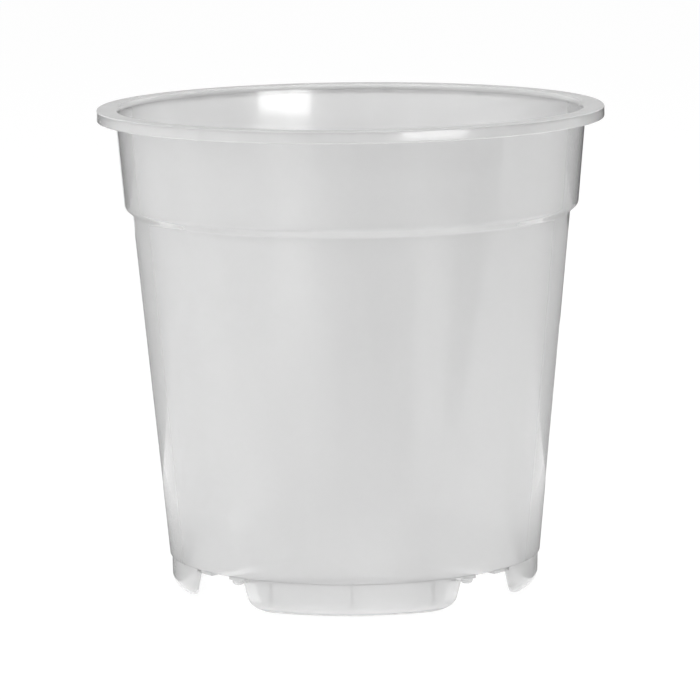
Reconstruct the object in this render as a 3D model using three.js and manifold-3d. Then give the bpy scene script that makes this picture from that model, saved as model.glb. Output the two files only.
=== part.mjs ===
// A clear orchid pot, one thin moulding of milky polypropylene, drawn as the features that make it up.
// Millimetres, +Z up. The origin is on the ground under the middle of the pot, and the front faces -Y.
import * as THREE from "three";
import { mergeVertices } from "three/addons/utils/BufferGeometryUtils.js";
import Module from "manifold-3d";

// Overall size and plastic thickness
const RIM_DIAMETER = 120;
const POT_HEIGHT = 114.5;
const WALL = 0.8;
const FLOOR_THICKNESS = 0.9;

// Rim: a flat flange whose edge turns down into a short skirt, with ribs behind the skirt
const RIM_OVERHANG = 4.3;
const RIM_SKIRT_HEIGHT = 2.8;
const RIM_EDGE_RADIUS = 0.4;
const RIM_RIB_COUNT = 14;
const RIM_RIB_THICKNESS = 0.8;
const RIM_RIB_SETBACK = 0.4;
const RIM_RIB_PHASE_DEGREES = 17.75;

// Collar, shoulder and tapered wall
const COLLAR_HEIGHT = 23.2;
const COLLAR_TAPER = 1.9;
const SHOULDER_DROP = 1.75;
const SHOULDER_STEP = 1.95;
const WALL_TAPER = 7.55;

// Feet: four segments of the round base, left standing by a square recess under the floor
const FOOT_HEIGHT = 7.2;
const FOOT_STEP = 0.6;
const FOOT_EDGE_RADIUS = 3.3;
const FOOT_RECESS_RADIUS = 0.9;
const FOOT_DEPTH_AT_FLOOR = 7.9;
const FOOT_DEPTH_AT_GROUND = 6.5;
const FOOT_WEB_THICKNESS = 0.8;
const FOOT_WEB_TIP_DISTANCE = 3.7;

// Drainage: a slot in the floor at each gap between two feet, small pips beside it, and round holes inside
const DRAIN_SLOT_WIDTH = 6;
const DRAIN_SLOT_LENGTH = 14;
const DRIP_PIP_RADIUS = 1.4;
const DRIP_PIP_HEIGHT = 1.2;
const DRIP_PIP_ROUNDING = 0.8;
const DRIP_PIP_MARGIN = 0.1;
const CENTRE_HOLE_COUNT = 8;
const CENTRE_HOLE_DIAMETER = 5;
const CENTRE_HOLE_CIRCLE_RADIUS = 18;

// Small gap round a rib, web or pip that stands beside a wall
const RIB_GAP = 0.3;

// The feet in the order that they stand round the pot, a quarter turn apart
const FOOT_SIDES = ["front", "right", "back", "left"];
const QUARTER_TURN = Math.PI / 2;

// Smoothness of the round faces, and how far a cutting solid reaches past what it cuts
const RING_SEGMENTS = 96;
const ARC_STEPS = 4;
const FOOT_ARC_STEPS = 6;
const HOLE_SEGMENTS = 20;
const PIP_SEGMENTS = 14;
const CUT_MARGIN = 5;

// Radii of the outer skin, from the rim down
const rimRadius = RIM_DIAMETER / 2;
const collarTopRadius = rimRadius - RIM_OVERHANG;
const collarFootRadius = collarTopRadius - COLLAR_TAPER;
const wallTopRadius = collarFootRadius - SHOULDER_STEP;
const wallFootRadius = wallTopRadius - WALL_TAPER;
const footRadius = wallFootRadius - FOOT_STEP;

// Heights above the ground
const flangeUnderside = POT_HEIGHT - WALL;
const skirtFoot = POT_HEIGHT - RIM_SKIRT_HEIGHT;
const collarFoot = POT_HEIGHT - COLLAR_HEIGHT;
const shoulderFoot = collarFoot - SHOULDER_DROP;
const floorTop = FOOT_HEIGHT + FLOOR_THICKNESS;

// Half widths of the square recess under the floor, and of the square floor above it
const recessAtFloor = footRadius - FOOT_DEPTH_AT_FLOOR;
const recessAtGround = footRadius - FOOT_DEPTH_AT_GROUND;
const floorHalfWidth = recessAtFloor + WALL;

const wasm = await Module();
wasm.setup();

// A closed geometry as a solid that can be joined and cut.
function solidFrom(geometry) {
  geometry.deleteAttribute("normal");
  geometry.deleteAttribute("uv");
  const merged = mergeVertices(geometry);
  return new wasm.Manifold(
    new wasm.Mesh({
      numProp: 3,
      vertProperties: merged.getAttribute("position").array,
      triVerts: new Uint32Array(merged.index.array),
    }),
  );
}

// A solid back as a geometry.
function geometryFrom(solid) {
  const { vertProperties, triVerts } = solid.getMesh();
  const geometry = new THREE.BufferGeometry();
  geometry.setAttribute("position", new THREE.BufferAttribute(vertProperties, 3));
  geometry.setIndex(new THREE.BufferAttribute(triVerts, 1));
  geometry.computeVertexNormals();
  return geometry;
}

// A point of a turned profile: its radius and its height.
function at(radius, height) {
  return new THREE.Vector2(radius, height);
}

// Points of an arc in a turned profile, counter-clockwise.
function arc(centreRadius, centreHeight, radius, fromDegrees, toDegrees, steps) {
  return Array.from({ length: steps + 1 }, (_, step) => {
    const angle = THREE.MathUtils.degToRad(fromDegrees + ((toDegrees - fromDegrees) * step) / steps);
    return at(centreRadius + radius * Math.cos(angle), centreHeight + radius * Math.sin(angle));
  });
}

// A profile, counter-clockwise, turned round the pot's upright axis.
function turned(profile, segments = RING_SEGMENTS) {
  return new THREE.LatheGeometry(profile, segments).rotateX(QUARTER_TURN);
}

// A profile that closes on itself, turned into a ring.
function turnedRing(profile) {
  return turned([...profile, profile[0].clone()]);
}

// A shape drawn in radius and height, made into a plate of the given thickness across the X axis.
function uprightPlate(outline, thickness) {
  const plate = new THREE.ExtrudeGeometry(new THREE.Shape(outline), { depth: thickness, bevelEnabled: false });
  return plate.rotateX(QUARTER_TURN).translate(0, thickness / 2, 0);
}

// Milky polypropylene, a pale grey with a soft gloss.
function milkyPlastic() {
  return new THREE.MeshStandardMaterial({
    color: 0xd9d9d9,
    roughness: 0.22,
    metalness: 0,
    transparent: true,
    opacity: 0.72,
  });
}

function addPiece(parent, name, geometry) {
  const mesh = new THREE.Mesh(geometry, milkyPlastic());
  mesh.name = name;
  parent.add(mesh);
}

// Flange and skirt in one ring: round skirt foot, then the rim's outer edge, then the mouth's edge.
function rimLip() {
  const mouthRadius = collarTopRadius - WALL;
  const skirtMiddle = rimRadius - WALL / 2;
  const edgeHeight = POT_HEIGHT - RIM_EDGE_RADIUS;
  return turnedRing([
    ...arc(skirtMiddle, skirtFoot + WALL / 2, WALL / 2, 180, 360, 2 * ARC_STEPS),
    ...arc(rimRadius - RIM_EDGE_RADIUS, edgeHeight, RIM_EDGE_RADIUS, 0, 90, ARC_STEPS),
    ...arc(mouthRadius + RIM_EDGE_RADIUS, edgeHeight, RIM_EDGE_RADIUS, 90, 180, ARC_STEPS),
    at(mouthRadius, flangeUnderside),
    at(rimRadius - WALL, flangeUnderside),
  ]);
}

// One rib under the flange, along +X, clear of the collar and of the skirt.
function rimRib() {
  const ribFoot = skirtFoot + RIM_RIB_SETBACK;
  const collarSlope = COLLAR_TAPER / (flangeUnderside - collarFoot);
  const innerTop = collarTopRadius + RIB_GAP;
  const innerFoot = innerTop - collarSlope * (flangeUnderside - ribFoot);
  const outer = rimRadius - WALL - RIB_GAP;
  const outline = [
    at(innerFoot, ribFoot),
    at(outer, ribFoot),
    at(outer, flangeUnderside),
    at(innerTop, flangeUnderside),
  ];
  return uprightPlate(outline, RIM_RIB_THICKNESS);
}

// Corners of the skin where two bands meet: the inner one lies on the line that halves the bend.
const shoulderBend = Math.atan2(SHOULDER_STEP, SHOULDER_DROP);
const mitreRise = WALL * Math.tan(shoulderBend / 2);
const skinCorners = {
  flange: { outer: at(collarTopRadius, flangeUnderside), inner: at(collarTopRadius - WALL, flangeUnderside) },
  collarFoot: {
    outer: at(collarFootRadius, collarFoot),
    inner: at(collarFootRadius - WALL, collarFoot + mitreRise),
  },
  wallTop: {
    outer: at(wallTopRadius, shoulderFoot),
    inner: at(wallTopRadius - WALL, shoulderFoot + mitreRise),
  },
  wallFoot: { outer: at(wallFootRadius, floorTop), inner: at(wallFootRadius - WALL, floorTop) },
};

// The band of skin between two of those corners.
function skinBand(upper, lower) {
  return turnedRing([lower.outer, upper.outer, upper.inner, lower.inner]);
}

// The round base as a full solid, with each face set in by the same amount and a flat top.
function baseSolid(inset, top) {
  const profile = [
    at(0, inset),
    ...arc(footRadius - FOOT_EDGE_RADIUS, FOOT_EDGE_RADIUS, FOOT_EDGE_RADIUS - inset, 270, 360, FOOT_ARC_STEPS),
    at(footRadius - inset, FOOT_HEIGHT),
    at(wallFootRadius - inset, floorTop),
  ];
  if (top > floorTop) {
    profile.push(at(wallFootRadius - inset, top));
  }
  profile.push(at(0, top));
  return solidFrom(turned(profile));
}

// The rounded edge between the recess wall of the front foot and the ground, from the wall down.
function recessEdge() {
  const lean = Math.atan2(recessAtGround - recessAtFloor, FOOT_HEIGHT);
  const reach = FOOT_RECESS_RADIUS * Math.tan((QUARTER_TURN - lean) / 2);
  const wallSide = 180 + THREE.MathUtils.radToDeg(lean);
  return arc(recessAtGround + reach, FOOT_RECESS_RADIUS, FOOT_RECESS_RADIUS, wallSide, 270, ARC_STEPS);
}

// All that lies in front of the recess wall of the front foot, with that wall set in by the given amount.
// The wall's own outer face has a rounded ground edge.
function frontOfRecess(inset) {
  const top = floorTop + CUT_MARGIN;
  const far = rimRadius + CUT_MARGIN;
  const groundEdge = inset > 0 ? [at(recessAtGround + inset, 0)] : recessEdge();
  const outline = [
    ...groundEdge,
    at(far, 0),
    at(far, top),
    at(recessAtFloor + inset, top),
    at(recessAtFloor + inset, FOOT_HEIGHT),
  ];
  return solidFrom(uprightPlate(outline, 2 * far).rotateZ(-QUARTER_TURN));
}

// The hollow of the front foot, which is open to the inside of the pot.
function footHollow(inset) {
  return baseSolid(inset, floorTop + CUT_MARGIN).intersect(frontOfRecess(inset));
}

// The square that the floor takes up, from its underside to the given height.
function floorSquare(top) {
  const height = top - FOOT_HEIGHT;
  const block = new THREE.BoxGeometry(2 * floorHalfWidth, 2 * floorHalfWidth, height);
  return solidFrom(block.translate(0, 0, FOOT_HEIGHT + height / 2));
}

function frontFoot() {
  const shell = baseSolid(0, floorTop).intersect(frontOfRecess(0));
  return geometryFrom(shell.subtract(footHollow(WALL)).subtract(floorSquare(floorTop + CUT_MARGIN)));
}

// An upright web across the hollow of the front foot, the given distance to the right of its middle.
function footWeb(offset) {
  const depth = rimRadius;
  const slab = new THREE.BoxGeometry(FOOT_WEB_THICKNESS, depth, FOOT_HEIGHT);
  slab.translate(offset, -depth / 2, FOOT_HEIGHT / 2);
  return geometryFrom(footHollow(WALL + RIB_GAP).intersect(solidFrom(slab)));
}

// Distance from a foot's middle to the webs near its two tips.
function webOffset() {
  const hollowHalfLength = Math.sqrt((footRadius - WALL) ** 2 - floorHalfWidth ** 2);
  return hollowHalfLength - FOOT_WEB_TIP_DISTANCE;
}

// A drain slot from the floor's outer edge towards the middle, along +X, with a round inner end.
function drainSlot() {
  const halfWidth = DRAIN_SLOT_WIDTH / 2;
  const innerEnd = wallFootRadius - DRAIN_SLOT_LENGTH + halfWidth;
  const far = wallFootRadius + CUT_MARGIN;
  const outline = new THREE.Shape();
  outline.moveTo(far, -halfWidth);
  outline.lineTo(far, halfWidth);
  outline.lineTo(innerEnd, halfWidth);
  outline.absarc(innerEnd, 0, halfWidth, QUARTER_TURN, 3 * QUARTER_TURN, false);
  const depth = FLOOR_THICKNESS + 2 * CUT_MARGIN;
  const options = { depth, bevelEnabled: false, curveSegments: HOLE_SEGMENTS / 2 };
  return new THREE.ExtrudeGeometry(outline, options).translate(0, 0, FOOT_HEIGHT - CUT_MARGIN);
}

function centreHole() {
  const radius = CENTRE_HOLE_DIAMETER / 2;
  const depth = FLOOR_THICKNESS + 2 * CUT_MARGIN;
  const hole = new THREE.CylinderGeometry(radius, radius, depth, HOLE_SEGMENTS).rotateX(QUARTER_TURN);
  return hole.translate(CENTRE_HOLE_CIRCLE_RADIUS, 0, FOOT_HEIGHT + FLOOR_THICKNESS / 2);
}

function floorPlate() {
  let plate = baseSolid(0, floorTop).intersect(floorSquare(floorTop));
  for (let gap = 0; gap < FOOT_SIDES.length; gap++) {
    const direction = (gap + 0.5) * QUARTER_TURN;
    plate = plate.subtract(solidFrom(drainSlot().rotateZ(direction)));
  }
  for (let hole = 0; hole < CENTRE_HOLE_COUNT; hole++) {
    const direction = ((hole + 0.5) * 2 * Math.PI) / CENTRE_HOLE_COUNT;
    plate = plate.subtract(solidFrom(centreHole().rotateZ(direction)));
  }
  return geometryFrom(plate);
}

// A rounded pip under the floor, at the origin of its own plan.
function dripPip() {
  const foot = FOOT_HEIGHT - DRIP_PIP_HEIGHT;
  const centreRadius = DRIP_PIP_RADIUS - DRIP_PIP_ROUNDING;
  const profile = [
    at(0, foot),
    ...arc(centreRadius, foot + DRIP_PIP_ROUNDING, DRIP_PIP_ROUNDING, 270, 360, ARC_STEPS),
    at(DRIP_PIP_RADIUS, FOOT_HEIGHT),
    at(0, FOOT_HEIGHT),
  ];
  return turned(profile, PIP_SEGMENTS);
}

// Place of a pip: beside the slot of one gap, on the side of the front or back foot.
// It stands as far out as the floor's edge and the foot's recess wall both let it.
function dripPipPlace(sideX, sideY) {
  const fromSlot = DRAIN_SLOT_WIDTH / 2 + DRIP_PIP_RADIUS;
  const reach = footRadius - DRIP_PIP_RADIUS - DRIP_PIP_MARGIN;
  const reachToFoot = recessAtFloor - DRIP_PIP_RADIUS - RIB_GAP;
  const alongSlot = Math.min(
    Math.sqrt(reach ** 2 - fromSlot ** 2),
    reachToFoot * Math.SQRT2 - fromSlot,
  );
  return new THREE.Vector3(
    (sideX * (alongSlot - fromSlot)) / Math.SQRT2,
    (sideY * (alongSlot + fromSlot)) / Math.SQRT2,
    0,
  );
}

const pot = new THREE.Group();
pot.name = "orchid_pot";

// Rim with its ribs
addPiece(pot, "rim_lip", rimLip());
for (let rib = 0; rib < RIM_RIB_COUNT; rib++) {
  const turn = RIM_RIB_PHASE_DEGREES + (rib * 360) / RIM_RIB_COUNT;
  const holder = new THREE.Group();
  holder.rotation.z = THREE.MathUtils.degToRad(turn - 90);
  addPiece(holder, `rim_rib_${String(rib + 1).padStart(2, "0")}`, rimRib());
  pot.add(holder);
}

// Skin from the flange to the floor
addPiece(pot, "collar_band", skinBand(skinCorners.flange, skinCorners.collarFoot));
addPiece(pot, "shoulder_ring", skinBand(skinCorners.collarFoot, skinCorners.wallTop));
addPiece(pot, "side_wall", skinBand(skinCorners.wallTop, skinCorners.wallFoot));
addPiece(pot, "floor_plate", floorPlate());

// Feet with the webs inside them
FOOT_SIDES.forEach((side, quarter) => {
  const holder = new THREE.Group();
  holder.rotation.z = quarter * QUARTER_TURN;
  addPiece(holder, `foot_${side}`, frontFoot());
  addPiece(holder, `foot_${side}_web_left`, footWeb(-webOffset()));
  addPiece(holder, `foot_${side}_web_middle`, footWeb(0));
  addPiece(holder, `foot_${side}_web_right`, footWeb(webOffset()));
  pot.add(holder);
});

// Pips beside the drain slots
for (const [endName, sideY] of [["front", -1], ["back", 1]]) {
  for (const [sideName, sideX] of [["left", -1], ["right", 1]]) {
    const holder = new THREE.Group();
    holder.position.copy(dripPipPlace(sideX, sideY));
    addPiece(holder, `drip_pip_${endName}_${sideName}`, dripPip());
    pot.add(holder);
  }
}

export default pot;
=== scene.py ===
import math

import bmesh
import bpy
from mathutils import Matrix, Vector


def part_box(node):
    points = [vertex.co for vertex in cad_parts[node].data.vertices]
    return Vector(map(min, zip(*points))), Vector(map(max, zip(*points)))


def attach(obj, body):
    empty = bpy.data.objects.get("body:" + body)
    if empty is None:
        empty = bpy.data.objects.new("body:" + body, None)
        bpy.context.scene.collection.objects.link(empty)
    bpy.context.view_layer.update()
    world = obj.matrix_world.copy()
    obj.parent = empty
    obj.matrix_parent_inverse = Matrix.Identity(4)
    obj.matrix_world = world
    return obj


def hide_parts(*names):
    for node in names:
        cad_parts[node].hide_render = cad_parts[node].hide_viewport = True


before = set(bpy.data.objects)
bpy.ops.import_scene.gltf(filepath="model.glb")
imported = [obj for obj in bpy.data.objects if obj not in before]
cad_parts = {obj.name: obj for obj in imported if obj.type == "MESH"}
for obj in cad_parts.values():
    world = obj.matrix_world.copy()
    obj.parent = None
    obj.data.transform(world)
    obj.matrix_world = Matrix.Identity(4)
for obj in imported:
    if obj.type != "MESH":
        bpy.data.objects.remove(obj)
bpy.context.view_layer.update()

MM = 0.001

# Plastic thickness, roundings and small features, as real sizes
WALL = 0.8 * MM
RIM_EDGE_RADIUS = 0.4 * MM
SKIRT_FOOT_RADIUS = 0.38 * MM
SKIRT_ROOT_RADIUS = 0.5 * MM
RIM_BEND_OUTER_RADIUS = 1.1 * MM
RIM_BEND_INNER_RADIUS = 0.3 * MM
CREASE_OUTER_RADIUS = 1.8 * MM
CREASE_INNER_RADIUS = 1.0 * MM
JOINT_MARGIN = 0.15 * MM
FOOT_STEP = 0.5 * MM
FOOT_LEDGE_HEIGHT = 0.1 * MM
FOOT_EDGE_RADIUS = 3.3 * MM
FOOT_RECESS_RADIUS = 0.9 * MM
FOOT_DEPTH_AT_FLOOR = 8.25 * MM
FOOT_DEPTH_AT_GROUND = 6.85 * MM
FOOT_TIP_RADIUS = 0.15 * MM
SIDE_FOOT_TIP_ROUNDING = 1.05 * MM
HOLLOW_TIP_RADIUS = 0.2 * MM
WEB_GAP = 0.08 * MM
WEB_LEAST_DEPTH = 0.3 * MM
DRAIN_SLOT_WIDTH = 6 * MM
DRAIN_SLOT_LENGTH = 14 * MM
CENTRE_HOLE_COUNT = 8
CENTRE_HOLE_RADIUS = 2.5 * MM
CENTRE_HOLE_CIRCLE_RADIUS = 18 * MM
PLATE_EDGE_RADIUS = 0.18 * MM
PIP_ROUNDING = 0.8 * MM
ROOT_OVERLAP = 0.06 * MM

# Smoothness
RING_SEGMENTS = 192
PIP_SEGMENTS = 32
HOLE_SEGMENTS = 40
FILLET_STEPS = 6
FOOT_TURN_STEPS = 72
FOOT_TIP_STEPS = 6
FOOT_EDGE_STEPS = 14
FOOT_SIDE_STEPS = 4
WEB_STEPS = 12
BISECT_STEPS = 20
PLATE_EDGE_STEPS = 2
ROUND_PROFILE = 0.5
SHARP_ANGLE = math.radians(50)
MERGE_DISTANCE = 0.001 * MM

QUARTER_TURN = math.pi / 2
FOOT_SIDES = ("front", "right", "back", "left")

# Sizes taken from the frame
rim_low, rim_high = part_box("rim_lip")
collar_low, collar_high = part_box("collar_band")
shoulder_low, shoulder_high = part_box("shoulder_ring")
wall_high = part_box("side_wall")[1]
floor_low, floor_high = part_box("floor_plate")
foot_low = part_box("foot_front")[0]
rim_radius = rim_high.x
collar_top_radius = collar_high.x
collar_foot_radius = shoulder_high.x
wall_top_radius = wall_high.x
wall_foot_radius = -foot_low.y
foot_radius = wall_foot_radius - FOOT_STEP
pot_height = rim_high.z
skirt_foot = rim_low.z
flange_underside = collar_high.z
rim_joint = flange_underside - RIM_BEND_INNER_RADIUS - JOINT_MARGIN
collar_foot = collar_low.z
shoulder_foot = shoulder_low.z
floor_top = floor_high.z
floor_underside = floor_low.z
floor_half_width = floor_high.x
ledge_foot = floor_top - FOOT_LEDGE_HEIGHT
recess_at_floor = foot_radius - FOOT_DEPTH_AT_FLOOR
recess_at_ground = foot_radius - FOOT_DEPTH_AT_GROUND


# Outlines
def arc_points(centre, radius, start, end, steps):
    """Points of a flat arc from one angle to another."""
    angles = [start + (end - start) * step / steps for step in range(steps + 1)]
    return [centre + radius * Vector((math.cos(angle), math.sin(angle))) for angle in angles]


def corner_arc(before, corner, after, radius):
    """Points that round off a corner of an outline, or the corner itself where the radius is 0."""
    if radius == 0:
        return [corner]
    to_before = (before - corner).normalized()
    to_after = (after - corner).normalized()
    half_angle = to_before.angle(to_after) / 2
    reach = radius / math.tan(half_angle)
    centre = corner + (to_before + to_after).normalized() * radius / math.sin(half_angle)
    start = corner + to_before * reach - centre
    end = corner + to_after * reach - centre
    start_angle = math.atan2(start.y, start.x)
    turn = (math.atan2(end.y, end.x) - start_angle + math.pi) % (2 * math.pi) - math.pi
    return arc_points(centre, radius, start_angle, start_angle + turn, FILLET_STEPS)


def corner_arcs(corners, closed):
    """The arc of each (x, y, radius) corner. An open outline keeps its two ends as they are."""
    points = [Vector(corner[:2]) for corner in corners]
    radii = [corner[2] for corner in corners]
    if not closed:
        radii[0] = radii[-1] = 0
    arcs = []
    for index, point in enumerate(points):
        after = points[(index + 1) % len(points)]
        arcs.append(corner_arc(points[index - 1], point, after, radii[index]))
    return arcs


def joined(arcs):
    """The points of all arcs, one arc after the other."""
    return [point for arc in arcs for point in arc]


def direction(angle):
    """The level direction at an angle round the pot."""
    return Vector((math.sin(angle), -math.cos(angle), 0))


# Meshes and pieces
def finish_piece(bm, name, node, plastic):
    """Makes an object of the mesh, with clean faces and even shading, that stands for the CAD node."""
    bmesh.ops.remove_doubles(bm, verts=bm.verts, dist=MERGE_DISTANCE)
    bmesh.ops.dissolve_degenerate(bm, edges=bm.edges, dist=MERGE_DISTANCE)
    bmesh.ops.recalc_face_normals(bm, faces=bm.faces)
    mesh = bpy.data.meshes.new(name)
    bm.to_mesh(mesh)
    bm.free()
    mesh.shade_smooth()
    mesh.set_sharp_from_angle(angle=SHARP_ANGLE)
    mesh.materials.append(plastic)
    piece = bpy.data.objects.new(name, mesh)
    bpy.context.collection.objects.link(piece)
    weights = piece.modifiers.new("even_shading", "WEIGHTED_NORMAL")
    weights.keep_sharp = True
    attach(piece, "root")
    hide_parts(node)


def bridge(bm, loop, following):
    """Faces between two closed loops with the same number of corners."""
    for index in range(len(loop)):
        bm.faces.new((loop[index - 1], loop[index], following[index], following[index - 1]))


def skin_grid(bm, rows, closed):
    """Faces between rows of points, each row a closed loop."""
    made = [[bm.verts.new(point) for point in row] for row in rows]
    pairs = list(zip(made, made[1:]))
    if closed:
        pairs.append((made[-1], made[0]))
    for row, following in pairs:
        bridge(bm, row, following)
    return made


def turned(outline, segments):
    """A closed outline of (radius, height) points turned round the upright axis."""
    bm = bmesh.new()
    rows = []
    for segment in range(segments):
        outward = direction(2 * math.pi * segment / segments)
        rows.append([outward * point.x + Vector((0, 0, point.y)) for point in outline])
    skin_grid(bm, rows, closed=True)
    return bm


def soften_edges(bm, is_free=None):
    """Rounds the sharp edges of a plate, or only those whose middle is free."""
    sharp = [edge for edge in bm.edges if edge.calc_face_angle(0) > SHARP_ANGLE]
    if is_free:
        sharp = [edge for edge in sharp if is_free((edge.verts[0].co + edge.verts[1].co) / 2)]
    bmesh.ops.bevel(
        bm, geom=sharp, affect="EDGES",
        offset=PLATE_EDGE_RADIUS, segments=PLATE_EDGE_STEPS, profile=ROUND_PROFILE,
    )


def upright_plate(outline, thickness, offset=0.0):
    """A plate that stands out at the pot's front. Its outline points are (distance out, height)."""
    bm = bmesh.new()
    sides = []
    for x in (offset - thickness / 2, offset + thickness / 2):
        sides.append([bm.verts.new((x, -point.x, point.y)) for point in outline])
    for side in sides:
        bm.faces.new(side)
    bridge(bm, *sides)
    bmesh.ops.recalc_face_normals(bm, faces=bm.faces)
    soften_edges(bm)
    return bm


def turn_to(bm, angle):
    """Turns a mesh that was made at the front to another angle round the pot."""
    bmesh.ops.rotate(bm, verts=bm.verts, matrix=Matrix.Rotation(angle, 3, "Z"))
    return bm


def nodes_named(prefix):
    """The CAD nodes whose names start alike, in order."""
    return sorted(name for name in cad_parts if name.startswith(prefix))


# The plastic
REFRACTION = 1.49
MILKY_CLARITY = 0.65
THICK_CLARITY = 0.45
COAT_WEIGHT = 0.8
COAT_ROUGHNESS = 0.06
NOISE_LOW = 0.3
NOISE_HIGH = 0.7
FLOW_SCALE = 45
FLOW_DETAIL = 3
FLOW_STRETCH = (1, 1, 0.22)
FLOW_DARK = (0.93, 0.93, 0.93, 1)
FLOW_LIGHT = (0.97, 0.97, 0.97, 1)
GLOSS_SCALE = 220
GLOSS_DETAIL = 4
LEAST_ROUGHNESS = 0.18
MOST_ROUGHNESS = 0.24
WAVE_SCALE = 32
WAVE_DETAIL = 1
WAVE_STRETCH = (1, 1, 0.5)
WAVE_STRENGTH = 0.25
WAVE_DEPTH = 0.25 * MM


def polypropylene(name, clarity):
    """Hazy clear plastic: faint flow marks in its colour, uneven gloss, and a thin moulding's waviness."""
    material = bpy.data.materials.new(name)
    material.use_nodes = True
    nodes = material.node_tree.nodes
    links = material.node_tree.links
    shader = nodes["Principled BSDF"]
    shader.inputs["IOR"].default_value = REFRACTION
    shader.inputs["Transmission Weight"].default_value = clarity
    shader.inputs["Coat Weight"].default_value = COAT_WEIGHT
    shader.inputs["Coat Roughness"].default_value = COAT_ROUGHNESS
    shader.inputs["Coat IOR"].default_value = REFRACTION
    place = nodes.new("ShaderNodeTexCoord")

    def noise(scale, detail, stretch=(1, 1, 1)):
        mapping = nodes.new("ShaderNodeMapping")
        mapping.inputs["Scale"].default_value = stretch
        links.new(place.outputs["Object"], mapping.inputs["Vector"])
        texture = nodes.new("ShaderNodeTexNoise")
        texture.inputs["Scale"].default_value = scale
        texture.inputs["Detail"].default_value = detail
        links.new(mapping.outputs["Vector"], texture.inputs["Vector"])
        return texture.outputs["Fac"]

    def spread(value, low, high):
        scale = nodes.new("ShaderNodeMapRange")
        scale.inputs["From Min"].default_value = NOISE_LOW
        scale.inputs["From Max"].default_value = NOISE_HIGH
        scale.inputs["To Min"].default_value = low
        scale.inputs["To Max"].default_value = high
        links.new(value, scale.inputs["Value"])
        return scale.outputs["Result"]

    flow = noise(FLOW_SCALE, FLOW_DETAIL, FLOW_STRETCH)
    tint = nodes.new("ShaderNodeMix")
    tint.data_type = "RGBA"
    tint.inputs["A"].default_value = FLOW_DARK
    tint.inputs["B"].default_value = FLOW_LIGHT
    links.new(spread(flow, 0, 1), tint.inputs["Factor"])
    links.new(tint.outputs["Result"], shader.inputs["Base Color"])

    roughness = spread(noise(GLOSS_SCALE, GLOSS_DETAIL), LEAST_ROUGHNESS, MOST_ROUGHNESS)
    links.new(roughness, shader.inputs["Roughness"])

    waviness = nodes.new("ShaderNodeBump")
    waviness.inputs["Strength"].default_value = WAVE_STRENGTH
    waviness.inputs["Distance"].default_value = WAVE_DEPTH
    links.new(noise(WAVE_SCALE, WAVE_DETAIL, WAVE_STRETCH), waviness.inputs["Height"])
    links.new(waviness.outputs["Normal"], shader.inputs["Normal"])
    return material


milky_plastic = polypropylene("milky_polypropylene", MILKY_CLARITY)
thick_plastic = polypropylene("thick_polypropylene", THICK_CLARITY)


# Rim, its ribs, and the skin below it
def collar_radius(height):
    """Outer radius of the collar at a height, also on its line above the flange's underside."""
    slope = (collar_top_radius - collar_foot_radius) / (flange_underside - collar_foot)
    return collar_foot_radius + slope * (height - collar_foot)


def make_rim():
    """Flange and skirt, with the bend into the collar as one even thickness down to its level joint."""
    outline = corner_arcs([
        (rim_radius - WALL, skirt_foot, SKIRT_FOOT_RADIUS),
        (rim_radius, skirt_foot, SKIRT_FOOT_RADIUS),
        (rim_radius, pot_height, RIM_EDGE_RADIUS),
        (collar_radius(pot_height) - WALL, pot_height, RIM_BEND_OUTER_RADIUS),
        (collar_radius(rim_joint) - WALL, rim_joint, 0),
        (collar_radius(rim_joint), rim_joint, 0),
        (collar_top_radius, flange_underside, RIM_BEND_INNER_RADIUS),
        (rim_radius - WALL, flange_underside, SKIRT_ROOT_RADIUS),
    ], closed=True)
    finish_piece(turned(joined(outline), RING_SEGMENTS), "rim_lip_skin", "rim_lip", thick_plastic)


def make_rim_ribs():
    """Small gussets under the flange, let into it, the skirt, and the collar, which narrows downwards."""
    skirt_inside = rim_radius - WALL + ROOT_OVERLAP
    flange_inside = flange_underside + ROOT_OVERLAP
    for node in nodes_named("rim_rib_"):
        low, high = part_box(node)
        middle = (low + high) / 2
        outline = [
            Vector((collar_top_radius - 2 * ROOT_OVERLAP, low.z)),
            Vector((skirt_inside, low.z)),
            Vector((skirt_inside, flange_inside)),
            Vector((collar_top_radius - ROOT_OVERLAP, flange_inside)),
        ]
        bm = turn_to(upright_plate(outline, WALL), math.atan2(middle.x, -middle.y))
        finish_piece(bm, f"{node}_skin", node, milky_plastic)


def level_point(path, height):
    """The point of a falling path at a height."""
    for upper, lower in zip(path, path[1:]):
        if upper.y >= height >= lower.y:
            return upper.lerp(lower, (upper.y - height) / (upper.y - lower.y))


def stretch_between(path, top, bottom):
    """The part of a falling path between two heights, cut level at both ends."""
    between = [point for point in path if bottom < point.y < top]
    return [level_point(path, top), *between, level_point(path, bottom)]


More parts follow.
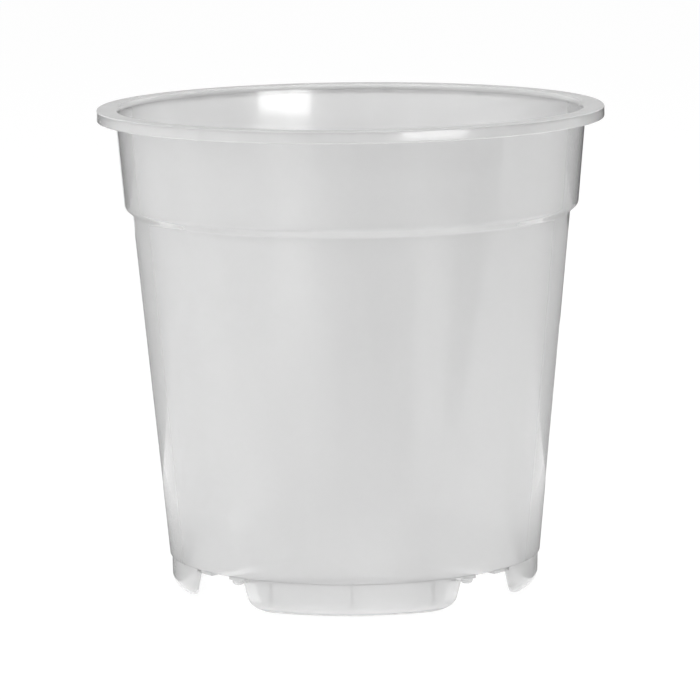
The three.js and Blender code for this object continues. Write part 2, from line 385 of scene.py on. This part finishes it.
def make_skin_bands():
    """Collar, shoulder and wall. Their joints lie level, on the straight skin just past the two creases."""
    bend = math.atan2(collar_foot_radius - wall_top_radius, collar_foot - shoulder_foot)
    rise = WALL * math.tan(bend / 2)
    outer = corner_arcs([
        (collar_top_radius, flange_underside, 0),
        (collar_foot_radius, collar_foot, CREASE_OUTER_RADIUS),
        (wall_top_radius, shoulder_foot, CREASE_INNER_RADIUS),
        (wall_foot_radius, floor_top, 0),
    ], closed=False)
    inner = corner_arcs([
        (collar_top_radius - WALL, flange_underside, 0),
        (collar_foot_radius - WALL, collar_foot + rise, CREASE_INNER_RADIUS),
        (wall_top_radius - WALL, shoulder_foot + rise, CREASE_OUTER_RADIUS),
        (wall_foot_radius - WALL, floor_top, 0),
    ], closed=False)
    collar_joint = max(arcs[1][0].y for arcs in (outer, inner)) + JOINT_MARGIN
    wall_joint = min(arcs[2][-1].y for arcs in (outer, inner)) - JOINT_MARGIN
    joints = (rim_joint, collar_joint, wall_joint, floor_top)
    for node, top, bottom in zip(("collar_band", "shoulder_ring", "side_wall"), joints, joints[1:]):
        outside, inside = [stretch_between(joined(arcs), top, bottom) for arcs in (outer, inner)]
        bm = turned(outside + inside[::-1], RING_SEGMENTS)
        finish_piece(bm, f"{node}_skin", node, milky_plastic)


# Floor with its slots, holes and pips
def floor_outline(radius):
    """The square floor with its corners cut round, and a slot running in from the middle of each corner."""
    half_slot = DRAIN_SLOT_WIDTH / 2
    slot_end = Vector((wall_foot_radius - DRAIN_SLOT_LENGTH + half_slot, 0))
    foot_tip = math.acos(floor_half_width / radius) - QUARTER_TURN / 2
    slot_side = math.asin(half_slot / radius)
    axis = Vector((0, 0))
    corner = [
        *arc_points(axis, radius, foot_tip, -slot_side, FILLET_STEPS),
        *arc_points(slot_end, half_slot, -QUARTER_TURN, -3 * QUARTER_TURN, HOLE_SEGMENTS // 2),
        *arc_points(axis, radius, slot_side, -foot_tip, FILLET_STEPS),
    ]
    outline = []
    for gap in range(len(FOOT_SIDES)):
        turn = Matrix.Rotation((gap + 0.5) * QUARTER_TURN, 2)
        outline += [turn @ point for point in corner]
    return outline


def centre_hole(index):
    """The outline of one of the round holes that stand in a ring about the floor's middle."""
    turn = 2 * math.pi * (index + 0.5) / CENTRE_HOLE_COUNT
    middle = CENTRE_HOLE_CIRCLE_RADIUS * Vector((math.cos(turn), math.sin(turn)))
    return arc_points(middle, CENTRE_HOLE_RADIUS, 0, 2 * math.pi, HOLE_SEGMENTS)[:-1]


def is_free_floor_edge(middle):
    """True away from the feet and, on the upper face, away from the wall that stands on the edge."""
    is_low = middle.z < (floor_underside + floor_top) / 2
    is_off_wall = is_low or middle.to_2d().length < foot_radius - WALL
    return is_off_wall and max(abs(middle.x), abs(middle.y)) < recess_at_floor


def make_floor():
    """The floor plate: its underside, the foot of the ledge that its edge carries, and its top."""
    bm = bmesh.new()
    holes = [centre_hole(index) for index in range(CENTRE_HOLE_COUNT)]
    underside = (foot_radius, floor_underside)
    ledge = (foot_radius, ledge_foot)
    top = (wall_foot_radius, floor_top)
    levels = []
    for radius, height in (underside, ledge, top):
        loops = []
        for loop in [floor_outline(radius), *holes]:
            loops.append([bm.verts.new((point.x, point.y, height)) for point in loop])
        levels.append(loops)
    for loops in (levels[0], levels[-1]):
        edges = []
        for loop in loops:
            edges += [bm.edges.new((loop[index - 1], loop[index])) for index in range(len(loop))]
        bmesh.ops.triangle_fill(bm, edges=edges, use_beauty=True)
    for lower_loops, upper_loops in zip(levels, levels[1:]):
        for lower, upper in zip(lower_loops, upper_loops):
            bridge(bm, lower, upper)
    bmesh.ops.recalc_face_normals(bm, faces=bm.faces)
    soften_edges(bm, is_free_floor_edge)
    finish_piece(bm, "floor_plate_skin", "floor_plate", thick_plastic)


def make_pips():
    """Small round pips under the floor, rounded at the foot and let into the floor by the overlap."""
    pip_top = floor_underside + ROOT_OVERLAP
    for node in nodes_named("drip_pip_"):
        low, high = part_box(node)
        middle = (low + high) / 2
        radius = (high.y - low.y) / 2
        outline = corner_arcs([
            (0, low.z, 0),
            (radius, low.z, PIP_ROUNDING),
            (radius, pip_top, 0),
            (0, pip_top, 0),
        ], closed=False)
        bm = turned(joined(outline), PIP_SEGMENTS)
        bmesh.ops.translate(bm, verts=bm.verts, vec=(middle.x, middle.y, 0))
        finish_piece(bm, f"{node}_skin", node, thick_plastic)


# Feet and the webs inside them
def foot_round(height, inset):
    """Radius of a foot's round side at a height, with that side set in."""
    if height >= FOOT_EDGE_RADIUS:
        return foot_radius - inset
    below = FOOT_EDGE_RADIUS - height
    return foot_radius - FOOT_EDGE_RADIUS + math.sqrt(max((FOOT_EDGE_RADIUS - inset) ** 2 - below ** 2, 0))


def recess_distance(height, inset):
    """Distance from the pot's axis to a foot's recess wall at a height, with that wall set in."""
    slope = (recess_at_floor - recess_at_ground) / floor_underside
    lean = -math.atan(slope)
    edge_radius = FOOT_RECESS_RADIUS - inset
    below = FOOT_RECESS_RADIUS - height
    if below <= edge_radius * math.sin(lean):
        return recess_at_ground + slope * height + inset
    edge_foot = recess_at_ground + slope * inset + inset
    edge_centre = edge_foot + edge_radius * math.tan((QUARTER_TURN - lean) / 2)
    return edge_centre - math.sqrt(max(edge_radius ** 2 - below ** 2, 0))


def round_side(radius, reach, height):
    """Points along the front foot's round side, as far as an angle to the left and right of its middle."""
    turns = [reach * (2 * step / FOOT_TURN_STEPS - 1) for step in range(FOOT_TURN_STEPS + 1)]
    return [direction(turn) * radius + Vector((0, 0, height)) for turn in turns]


def foot_level(height, inset, tip_radius):
    """The outline of the front foot at a height: round side, right tip, recess wall and left tip."""
    radius = foot_round(height, inset)
    tip_out = recess_distance(height, inset) + tip_radius
    tip_side = math.sqrt((radius - tip_radius) ** 2 - tip_out ** 2)
    reach = math.atan2(tip_side, tip_out)
    tip_centre = Vector((tip_side, -tip_out, height))
    right_tip = []
    for step in range(1, FOOT_TIP_STEPS + 1):
        turn = reach + (math.pi - reach) * step / FOOT_TIP_STEPS
        right_tip.append(tip_centre + direction(turn) * tip_radius)
    left_tip = [Vector((-point.x, point.y, height)) for point in right_tip[::-1]]
    shares = [step / FOOT_TURN_STEPS for step in range(1, FOOT_TURN_STEPS)]
    recess_wall = [right_tip[-1].lerp(left_tip[0], share) for share in shares]
    return [*round_side(radius, reach, height), *right_tip, *recess_wall, *left_tip]


def foot_heights(inset):
    """Heights of a foot's levels from its ground face to the floor's underside, closer in the round edge."""
    turns = [QUARTER_TURN * step / FOOT_EDGE_STEPS for step in range(FOOT_EDGE_STEPS + 1)]
    heights = [FOOT_EDGE_RADIUS - (FOOT_EDGE_RADIUS - inset) * math.cos(turn) for turn in turns]
    rise = (floor_underside - FOOT_EDGE_RADIUS) / FOOT_SIDE_STEPS
    return heights + [FOOT_EDGE_RADIUS + rise * step for step in range(1, FOOT_SIDE_STEPS + 1)]


def foot_top(level, radius, height):
    """A foot's topmost level again, with its round side raised past the floor's edge to a height."""
    reach = math.acos(floor_half_width / radius)
    return round_side(radius, reach, height) + level[FOOT_TURN_STEPS + 1:]


def close_level(bm, level):
    """Closes a foot's level with a ladder of faces from its round side to its recess wall."""
    recess_start = FOOT_TURN_STEPS + FOOT_TIP_STEPS
    recess_end = recess_start + FOOT_TURN_STEPS
    bm.faces.new(level[FOOT_TURN_STEPS:recess_start + 1])
    bm.faces.new([*level[recess_end:], level[0]])
    for step in range(FOOT_TURN_STEPS):
        across = recess_end - step
        bm.faces.new((level[step], level[step + 1], level[across - 1], level[across]))


def foot_skin(tip_rounding):
    """Levels of the front foot's skin, outside up and inside down. Its tips are rounder at the ground."""
    outer = []
    for height in foot_heights(0):
        share = max(1 - height / FOOT_EDGE_RADIUS, 0)
        outer.append(foot_level(height, 0, FOOT_TIP_RADIUS + tip_rounding * share))
    inner = [foot_level(height, WALL, HOLLOW_TIP_RADIUS) for height in foot_heights(WALL)]
    below_floor, hollow_top = outer[-1], inner[-1]
    outer.append(foot_top(below_floor, foot_radius, ledge_foot))
    outer.append(foot_top(below_floor, wall_foot_radius, floor_top))
    inner.append(foot_top(hollow_top, wall_foot_radius - WALL, floor_top))
    return [*outer, *inner[::-1]]


def make_feet():
    """Four hollow feet. The two at the sides have rounder tips and look milkier, as in the photograph."""
    for quarter, side in enumerate(FOOT_SIDES):
        is_side_foot = side in ("left", "right")
        tip_rounding = SIDE_FOOT_TIP_ROUNDING if is_side_foot else 0
        plastic = thick_plastic if is_side_foot else milky_plastic
        bm = bmesh.new()
        levels = skin_grid(bm, foot_skin(tip_rounding), closed=False)
        close_level(bm, levels[0])
        close_level(bm, levels[-1])
        turn_to(bm, quarter * QUARTER_TURN)
        finish_piece(bm, f"foot_{side}_skin", f"foot_{side}", plastic)


def web_outline(offset):
    """The outline of a web across a foot's hollow, the given distance to the side of the foot's middle."""
    inset = WALL + WEB_GAP

    def outer_distance(height):
        return math.sqrt(foot_round(height, inset) ** 2 - offset ** 2)

    def is_deep(height):
        return outer_distance(height) - recess_distance(height, inset) >= WEB_LEAST_DEPTH

    low, high = inset, floor_underside
    if not is_deep(low):
        for _ in range(BISECT_STEPS):
            middle = (low + high) / 2
            low, high = (low, middle) if is_deep(middle) else (middle, high)
    rise = (floor_underside - low) / WEB_STEPS
    heights = [floor_underside - rise * step for step in range(WEB_STEPS + 1)]
    outside = [Vector((outer_distance(height), height)) for height in heights]
    inside = [Vector((recess_distance(height, inset), height)) for height in (heights[-1], heights[0])]
    return outside + inside


def make_webs():
    """Three upright webs in each foot, at the places of the front foot's webs."""
    for quarter, side in enumerate(FOOT_SIDES):
        for place in ("left", "middle", "right"):
            low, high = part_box(f"foot_front_web_{place}")
            offset = (low.x + high.x) / 2
            node = f"foot_{side}_web_{place}"
            bm = turn_to(upright_plate(web_outline(offset), WALL, offset), quarter * QUARTER_TURN)
            finish_piece(bm, f"{node}_skin", node, milky_plastic)


make_rim()
make_rim_ribs()
make_skin_bands()
make_floor()
make_pips()
make_feet()
make_webs()


# Camera, at the photograph's place
CAMERA_AZIMUTH = math.radians(1.15)
CAMERA_DISTANCE = 1.0451
CAMERA_HEIGHT = 0.2168
CAMERA_AIM_HEIGHT = 0.05603
CAMERA_AIM_LEFT = 0.00068
CAMERA_ROLL = math.radians(-0.628)
CAMERA_LENS = 228.1


def make_camera():
    """The photograph's camera, which looks at the pot's middle and is turned by a small roll."""
    data = bpy.data.cameras.new("camera")
    data.lens = CAMERA_LENS
    camera = bpy.data.objects.new("camera", data)
    bpy.context.collection.objects.link(camera)
    camera.location = direction(CAMERA_AZIMUTH) * CAMERA_DISTANCE + Vector((0, 0, CAMERA_HEIGHT))
    sideways = direction(CAMERA_AZIMUTH + QUARTER_TURN)
    aim = Vector((0, 0, CAMERA_AIM_HEIGHT)) - sideways * CAMERA_AIM_LEFT
    look = (aim - camera.location).to_track_quat("-Z", "Y")
    camera.rotation_mode = "QUATERNION"
    camera.rotation_quaternion = look @ Matrix.Rotation(CAMERA_ROLL, 3, "Z").to_quaternion()
    bpy.context.scene.camera = camera


make_camera()


# Studio: a pale floor that runs out of sight, cards round the pot, soft lamps and a white room
FLOOR_SIZE = 12.0
FLOOR_PAPER = (0.9, 0.9, 0.9, 1)
FLOOR_WHITE = 1.1
FLOOR_WHITE_SHARE = 0.85
ROOM_COLOUR = (1, 1, 1, 1)
ROOM_WHITE = 1.0
ROOM_LIGHT = 0.35
CARD_LIFT = 0.0005
KEY_GLOW_START = math.radians(22)
KEY_GLOW_SIDES = (math.radians(34), math.radians(56))
KEY_GLOW_REACH = (0.03, 0.34)
KEY_GLOW_LIFT = 0.0008
KEY_GLOW_LEVEL = 0.85
CARD_SIDES = (("left", -1), ("right", 1))


def new_material(name):
    """An empty node material, its nodes and its links."""
    material = bpy.data.materials.new(name)
    material.use_nodes = True
    material.node_tree.nodes.clear()
    return material, material.node_tree.nodes, material.node_tree.links


def seen_directly(nodes, links):
    """A node value that is 1 where the camera sees a surface, also in gloss and through clear plastic."""
    rays = nodes.new("ShaderNodeLightPath")
    seen = rays.outputs["Is Camera Ray"]
    for ray in ("Is Glossy Ray", "Is Transmission Ray"):
        either = nodes.new("ShaderNodeMath")
        either.operation = "MAXIMUM"
        links.new(seen, either.inputs[0])
        links.new(rays.outputs[ray], either.inputs[1])
        seen = either.outputs["Value"]
    return seen


def floor_material():
    """Pale paper that keeps the pot's shadow, and is nearly white where it is seen directly."""
    material, nodes, links = new_material("studio_floor")
    share = nodes.new("ShaderNodeMath")
    share.operation = "MULTIPLY"
    share.inputs[1].default_value = FLOOR_WHITE_SHARE
    links.new(seen_directly(nodes, links), share.inputs[0])
    paper = nodes.new("ShaderNodeBsdfDiffuse")
    paper.inputs["Color"].default_value = FLOOR_PAPER
    white = nodes.new("ShaderNodeEmission")
    white.inputs["Strength"].default_value = FLOOR_WHITE
    shown = nodes.new("ShaderNodeMixShader")
    links.new(share.outputs["Value"], shown.inputs["Fac"])
    links.new(paper.outputs["BSDF"], shown.inputs[1])
    links.new(white.outputs["Emission"], shown.inputs[2])
    output = nodes.new("ShaderNodeOutputMaterial")
    links.new(shown.outputs["Shader"], output.inputs["Surface"])
    return material


def card_material(name, ends, levels):
    """A card that goes evenly from one grey to another between two places along X."""
    material, nodes, links = new_material(name)
    place = nodes.new("ShaderNodeNewGeometry")
    across = nodes.new("ShaderNodeSeparateXYZ")
    links.new(place.outputs["Position"], across.inputs["Vector"])
    grey = nodes.new("ShaderNodeMapRange")
    grey.inputs["From Min"].default_value, grey.inputs["From Max"].default_value = ends
    grey.inputs["To Min"].default_value, grey.inputs["To Max"].default_value = levels
    links.new(across.outputs["X"], grey.inputs["Value"])
    card = nodes.new("ShaderNodeEmission")
    links.new(grey.outputs["Result"], card.inputs["Strength"])
    output = nodes.new("ShaderNodeOutputMaterial")
    links.new(card.outputs["Emission"], output.inputs["Surface"])
    return material


def stage_plane(name, corners, material):
    """A flat four-cornered piece of the studio."""
    mesh = bpy.data.meshes.new(name)
    mesh.from_pydata(corners, [], [(0, 1, 2, 3)])
    mesh.materials.append(material)
    plane = bpy.data.objects.new(name, mesh)
    bpy.context.collection.objects.link(plane)
    return plane


def make_studio_floor():
    """A square of pale paper that reaches far past the view."""
    half = FLOOR_SIZE / 2
    corners = [(-half, -half, 0), (half, -half, 0), (half, half, 0), (-half, half, 0)]
    stage_plane("studio_floor", corners, floor_material())


def make_card(name, corners, ends, levels):
    """A card that only gloss and clear plastic show. Its level, where 1 is white, changes along X."""
    card = stage_plane(name, corners, card_material(name, ends, levels))
    card.visible_camera = False
    card.visible_diffuse = False
    card.visible_shadow = False


def make_standing_card(name, depth, ends, heights, levels):
    """An upright card square to the front, between two ends along X and two heights."""
    (start, end), (low, high) = ends, heights
    corners = [(start, depth, low), (end, depth, low), (end, depth, high), (start, depth, high)]
    make_card(name, corners, ends, levels)


def make_lying_card(name, ends, depths, levels):
    """A card just above the floor, between two ends along X and two depths along Y."""
    (start, end), (first, second) = ends, depths
    places = ((start, first), (end, first), (end, second), (start, second))
    make_card(name, [(x, y, CARD_LIFT) for x, y in places], ends, levels)


def make_key_glow():
    """The key light's glow on the floor, a wedge that runs out from the pot's right front."""
    start = direction(KEY_GLOW_START) * foot_radius + Vector((0, 0, KEY_GLOW_LIFT))
    near, far = KEY_GLOW_REACH
    left, right = KEY_GLOW_SIDES
    places = ((left, near), (right, near), (right, far), (left, far))
    corners = [start + direction(angle) * distance for angle, distance in places]
    make_card("key_glow", corners, ends=(0, 1), levels=(KEY_GLOW_LEVEL, KEY_GLOW_LEVEL))


def make_cards():
    """Darker greys beside the pot that give its edges their dark lines, partly as a painted floor shadow,
    and greys before and behind it.
    """
    make_standing_card("left_card", depth=0.4, ends=(-0.17, -0.6), heights=(0, 0.1), levels=(0.05, 0.6))
    make_standing_card("right_card", depth=0.4, ends=(0.08, 0.6), heights=(0, 0.1), levels=(0.0, 0.6))
    for side, sign in CARD_SIDES:
        ends = (sign * 0.068, sign * 0.3)
        make_standing_card(f"{side}_low_card", depth=0.12, ends=ends, heights=(0, 0.068), levels=(0.35, 0.9))
    # Painted shadow: greys on the floor beside the pot, darkest next to it, stand in for its shadow there as
    # gloss and clear plastic show it.
    for side, sign in CARD_SIDES:
        ends = (sign * 0.046, sign * 0.1)
        make_lying_card(f"{side}_painted_floor_shadow", ends=ends, depths=(-0.005, 0.12), levels=(0.2, 0.95))
    make_lying_card("front_edge_card", ends=(-0.12, 0.03), depths=(-0.105, -0.6), levels=(0.94, 0.42))
    make_lying_card("front_card", ends=(0.03, 0.5), depths=(-0.105, -0.6), levels=(0.42, 0.42))
    make_standing_card("rim_card", depth=0.55, ends=(-0.3, 0.3), heights=(0.12, 0.3), levels=(0.58, 0.58))
    make_key_glow()


def make_lamp(name, place, aim, size, level, diffuse=True, glossy=True, transmission=True):
    """A soft lamp. The last three tell if it lights surfaces, shows in gloss and shows through plastic."""
    data = bpy.data.lights.new(name, "AREA")
    data.shape = "RECTANGLE"
    data.size, data.size_y = size
    data.energy = level * math.pi * size[0] * size[1]
    lamp = bpy.data.objects.new(name, data)
    bpy.context.collection.objects.link(lamp)
    lamp.location = place
    lamp.rotation_mode = "QUATERNION"
    lamp.rotation_quaternion = (Vector(aim) - Vector(place)).to_track_quat("-Z", "Y")
    lamp.visible_camera = False
    lamp.visible_diffuse = diffuse
    lamp.visible_glossy = glossy
    lamp.visible_transmission = transmission


def make_lamps():
    """Two bright lamps for reflections, soft panels round the pot, and light from the floor."""
    make_lamp(
        "key_softbox", place=(0.30, -0.40, 0.12), aim=(0, 0, 0.12),
        size=(0.26, 0.11), level=5.5, diffuse=False,
    )
    make_lamp(
        "window_light", place=(0.30, -0.40, 0.157), aim=(0, 0, 0.157),
        size=(0.26, 0.05), level=8.0, diffuse=False,
    )
    make_lamp(
        "left_panel", place=(-0.70, -0.20, 0.40), aim=(0, 0, 0.10),
        size=(0.7, 0.8), level=0.9, glossy=False,
    )
    make_lamp(
        "right_panel", place=(0.55, 0.40, 0.50), aim=(0, 0, 0.10),
        size=(0.4, 0.4), level=1.35, glossy=False,
    )
    make_lamp("overhead", place=(0, -0.1, 1.1), aim=(0, -0.1, 0), size=(1.2, 1.2), level=1.2)
    make_lamp(
        "floor_bounce", place=(0, -0.02, 0.001), aim=(0, -0.02, 1),
        size=(0.44, 0.40), level=0.55, glossy=False, transmission=False,
    )
    make_lamp(
        "low_reflector", place=(0, -0.16, 0.016), aim=(0, 0, 0.016),
        size=(0.26, 0.03), level=0.7, glossy=False, transmission=False,
    )


def make_room():
    """An even room that is white where it is seen directly, and lights the pot softly."""
    world = bpy.data.worlds.new("room")
    world.use_nodes = True
    nodes = world.node_tree.nodes
    links = world.node_tree.links
    level = nodes.new("ShaderNodeMapRange")
    level.inputs["To Min"].default_value = ROOM_LIGHT
    level.inputs["To Max"].default_value = ROOM_WHITE
    links.new(seen_directly(nodes, links), level.inputs["Value"])
    background = nodes["Background"]
    background.inputs["Color"].default_value = ROOM_COLOUR
    links.new(level.outputs["Result"], background.inputs["Strength"])
    bpy.context.scene.world = world


make_studio_floor()
make_cards()
make_lamps()
make_room()
bpy.context.scene.view_settings.view_transform = "Standard"
